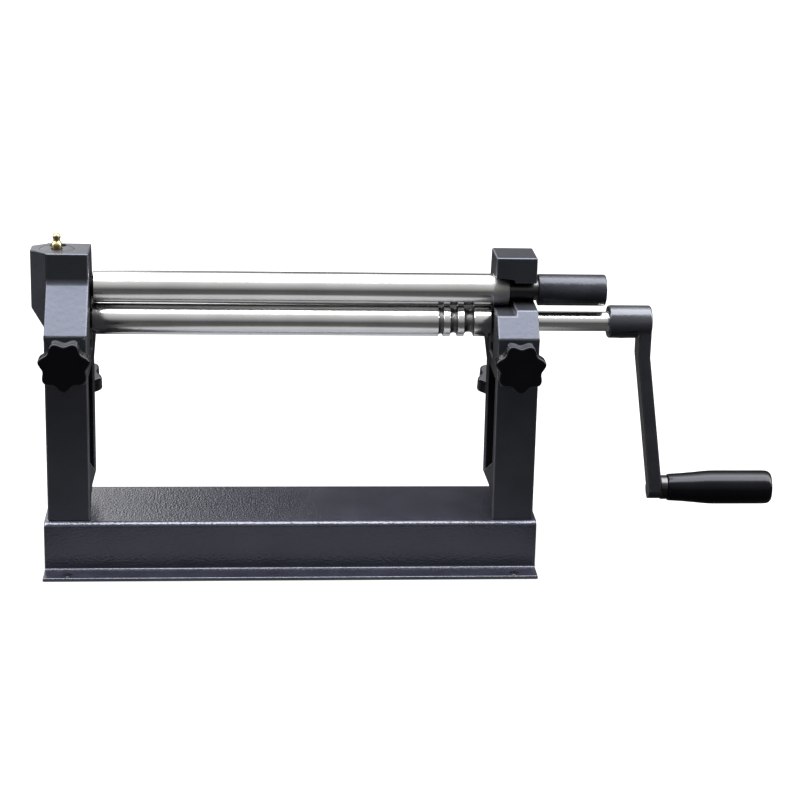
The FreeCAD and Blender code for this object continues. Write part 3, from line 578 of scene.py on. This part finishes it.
def knobShape(turn, centre):
    shape = bmesh.new()
    bmesh.ops.create_circle(shape, cap_ends=True, segments=knob["facets"], radius=knob["radius"] * mm)
    for vert in shape.verts:  # wave the rim into lobes
        angle = math.atan2(vert.co.y, vert.co.x)
        reach = knob["radius"] + knob["wave"] * math.cos(knob["lobes"] * (angle - math.pi / 2))
        vert.co = Vector((math.cos(angle), math.sin(angle), 0)) * reach * mm
    made = bmesh.ops.extrude_face_region(shape, geom=shape.faces[:])
    top = [item for item in made["geom"] if isinstance(item, bmesh.types.BMVert)]
    bmesh.ops.translate(shape, vec=(0, 0, knob["thick"] * mm), verts=top)
    bmesh.ops.recalc_face_normals(shape, faces=shape.faces)
    rims = [edge for edge in shape.edges if abs(edge.calc_face_angle(0)) > knob["sharp"]]
    bevelSome(shape, rims, knob["edge"], knob["edgeSteps"])
    bmesh.ops.translate(shape, vec=(0, 0, -knob["thick"] / 2 * mm), verts=shape.verts)
    hub = bmesh.ops.create_cone(shape, cap_ends=True, segments=knob["hubFacets"], radius1=knob["hub"] * mm,
                                radius2=knob["hub"] * knob["hubTaper"] * mm, depth=knob["hubLong"] * mm)
    bmesh.ops.translate(shape, vec=(0, 0, (knob["thick"] + knob["hubLong"]) / 2 * mm), verts=hub["verts"])
    bmesh.ops.transform(shape, matrix=turn, verts=shape.verts)
    bmesh.ops.translate(shape, vec=Vector(centre) * mm, verts=shape.verts)
    return shape


frontKnob = {"tilt": -90, "centre": (176, -57.5, 174.5)}
rearKnob = {"tilt": 25, "centre": (176, 70.379, 125.924)}
for side, sign in (("left", -1), ("right", 1)):
    for label, look in (("front", frontKnob), ("rear", rearKnob)):
        turn = Matrix.Rotation(math.radians(look["tilt"]), 4, "X")
        centre = (sign * look["centre"][0], look["centre"][1], look["centre"][2])
        shape = knobShape(turn, centre)
        finishPiece(f"{label}StarKnob_{side}", shape, "plastic", f"{label}_adjuster_{side}",
                    [f"{label}_knob_{side}"], smooth=50, steady=True)
print("knobs shaped")

nipple = {
    "centre": (-185.4, 8.5, 250.4),
    "outline": [(-8, 0), (-8, 2.9), (0, 2.9), (0, 3.5), (0.5, 3.7), (1.5, 4), (2.8, 4.3), (4.2, 4.25),
                (5.3, 3.8), (6.3, 3.1), (7, 2.65), (7.6, 2.5), (8.2, 2.62), (9, 2.92), (9.9, 3.1),
                (10.8, 3.1), (11.6, 2.85), (12.3, 2.35), (12.8, 1.7), (13.1, 0.9), (13.1, 0)],
}
standUp = Matrix.Rotation(math.radians(-90), 4, "Y")
shape = latheShape(nipple["outline"], nipple["centre"], standUp, steps=48)
finishPiece("greaseFitting", shape, "brass", "swivel", ["grease_nipple"], smooth=50)
print("grease fitting turned")

plain = {  # solids that only take a finish
    "trunnion_bush": "bronze", "housing_bolts": "zinc", "housing_washers": "zinc",
    "handle_set_screw": "zinc", "crank_set_screw": "zinc", "grip_spindle": "zinc",
    "front_block_left": "bronze", "front_block_right": "bronze",
    "rear_block_left": "bronze", "rear_block_right": "bronze",
    "wedge_pin_left": "zinc", "wedge_pin_right": "zinc",
    "front_screw_left": "zinc", "front_screw_right": "zinc",
    "rear_screw_left": "zinc", "rear_screw_right": "zinc",
}
for node, finish in plain.items():
    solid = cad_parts[node].data
    solid.materials.clear()
    solid.materials.append(finishes[finish])
print("solids finished")

studio = {
    "size": 12.0,  # metres, like the other lengths here
    "drop": 0.0004,
    "sheet": 0.21,  # a pale sheet lies under the machine, as far as this
    "sheetTone": 0.105,
    "sheetFade": 1.3,
    "floorTones": (0.016, 0.012),
    "floorRough": 0.9,
    "seenTone": 0.09,  # what the camera sees of the floor
    "seenGlow": 0.8,
    "peak": 16.0,
}
sky = [  # degrees up from the front horizon, over the top and down behind; share of the peak
    (-180, 0.011), (-20, 0.007), (0, 0.012), (14, 0.026), (28, 0.037), (42, 0.043), (54, 0.06), (61, 0.12),
    (65, 1.0), (106, 1.0), (112, 0.45), (124, 0.2), (130, 0.07), (136, 0.035), (148, 0.012), (160, 0.0055),
    (180, 0.0045),
]
glow = {  # a bright patch low behind on the left, by angle and by the share of X in the direction
    "angle": [(-180, 0), (146, 0), (157, 1), (176, 1), (180, 0)],
    "across": [(-0.3, 0), (-0.13, 0.16), (-0.082, 0.16), (-0.062, 0.062), (-0.045, 0.012), (0, 0)],
}


def rampStops(tree, source, stops):  # the first and the last stop are the ends of the range
    low, high = stops[0][0], stops[-1][0]
    span = addNode(tree, "MapRange", {"From Min": low, "From Max": high})
    tree.links.new(source, span.inputs["Value"])
    return rampOf(tree, span.outputs[0], [((spot - low) / (high - low), shade) for spot, shade in stops])


def seenOrLit(tree, lit, seen, output):  # the camera sees one shader, the machine is lit by the other
    path = addNode(tree, "LightPath")
    pick = addNode(tree, "MixShader")
    tree.links.new(path.outputs["Is Camera Ray"], pick.inputs[0])
    tree.links.new(lit.outputs[0], pick.inputs[1])
    tree.links.new(seen.outputs[0], pick.inputs[2])
    tree.links.new(pick.outputs[0], output.inputs[0])


def makeFloor():
    shape = bmesh.new()
    bmesh.ops.create_grid(shape, x_segments=2, y_segments=2, size=studio["size"] / 2)
    mesh = bpy.data.meshes.new("studioFloor")
    shape.to_mesh(mesh)
    shape.free()
    floor = bpy.data.objects.new("studioFloor", mesh)
    bpy.context.scene.collection.objects.link(floor)
    floor.location.z = -studio["drop"]
    material, tree, shader, place = newMaterial("paleFloor")
    distance = addNode(tree, "VectorMath", operation="LENGTH")
    tree.links.new(place, distance.inputs[0])
    sheet, tone = studio["sheet"], studio["sheetTone"]
    beside, far = studio["floorTones"]
    stops = [(0, tone), (sheet, tone), (sheet * studio["sheetFade"], beside), (1, far)]
    tree.links.new(rampStops(tree, distance.outputs["Value"], stops), shader.inputs["Base Color"])
    shader.inputs["Roughness"].default_value = studio["floorRough"]
    shader.inputs["Specular IOR Level"].default_value = 0.0
    seen = addNode(tree, "BsdfDiffuse", {"Color": (*[studio["seenTone"]] * 3, 1)})
    bright = addNode(tree, "Emission", {"Color": (1, 1, 1, 1), "Strength": studio["seenGlow"]})
    both = addNode(tree, "AddShader")
    tree.links.new(seen.outputs[0], both.inputs[0])
    tree.links.new(bright.outputs[0], both.inputs[1])
    output = next(node for node in tree.nodes if node.type == "OUTPUT_MATERIAL")
    seenOrLit(tree, shader, both, output)
    mesh.materials.append(material)


def makeWorld():  # long softbox above, running along X, in a dim room
    world = bpy.data.worlds.new("studioWorld")
    bpy.context.scene.world = world
    world.use_nodes = True
    tree = world.node_tree
    tree.nodes.clear()
    output = addNode(tree, "OutputWorld")
    where = addNode(tree, "TexCoord")
    split = addNode(tree, "SeparateXYZ")
    tree.links.new(where.outputs["Generated"], split.inputs[0])
    front = addNode(tree, "Math", {1: -1}, operation="MULTIPLY")
    tree.links.new(split.outputs["Y"], front.inputs[0])
    angle = addNode(tree, "Math", operation="ARCTAN2")
    tree.links.new(split.outputs["Z"], angle.inputs[0])
    tree.links.new(front.outputs[0], angle.inputs[1])
    degrees = addNode(tree, "Math", operation="DEGREES")
    tree.links.new(angle.outputs[0], degrees.inputs[0])
    level = addNode(tree, "Math", operation="MULTIPLY_ADD")
    tree.links.new(rampStops(tree, degrees.outputs[0], glow["angle"]), level.inputs[0])
    tree.links.new(rampStops(tree, split.outputs["X"], glow["across"]), level.inputs[1])
    tree.links.new(rampStops(tree, degrees.outputs[0], sky), level.inputs[2])
    dome = addNode(tree, "Background", {1: studio["peak"]})
    tree.links.new(level.outputs[0], dome.inputs[0])
    white = addNode(tree, "Background", {0: (1, 1, 1, 1)})
    seenOrLit(tree, dome, white, output)


makeFloor()
makeWorld()
bpy.context.scene.view_settings.view_transform = "Standard"
print("studio lit")
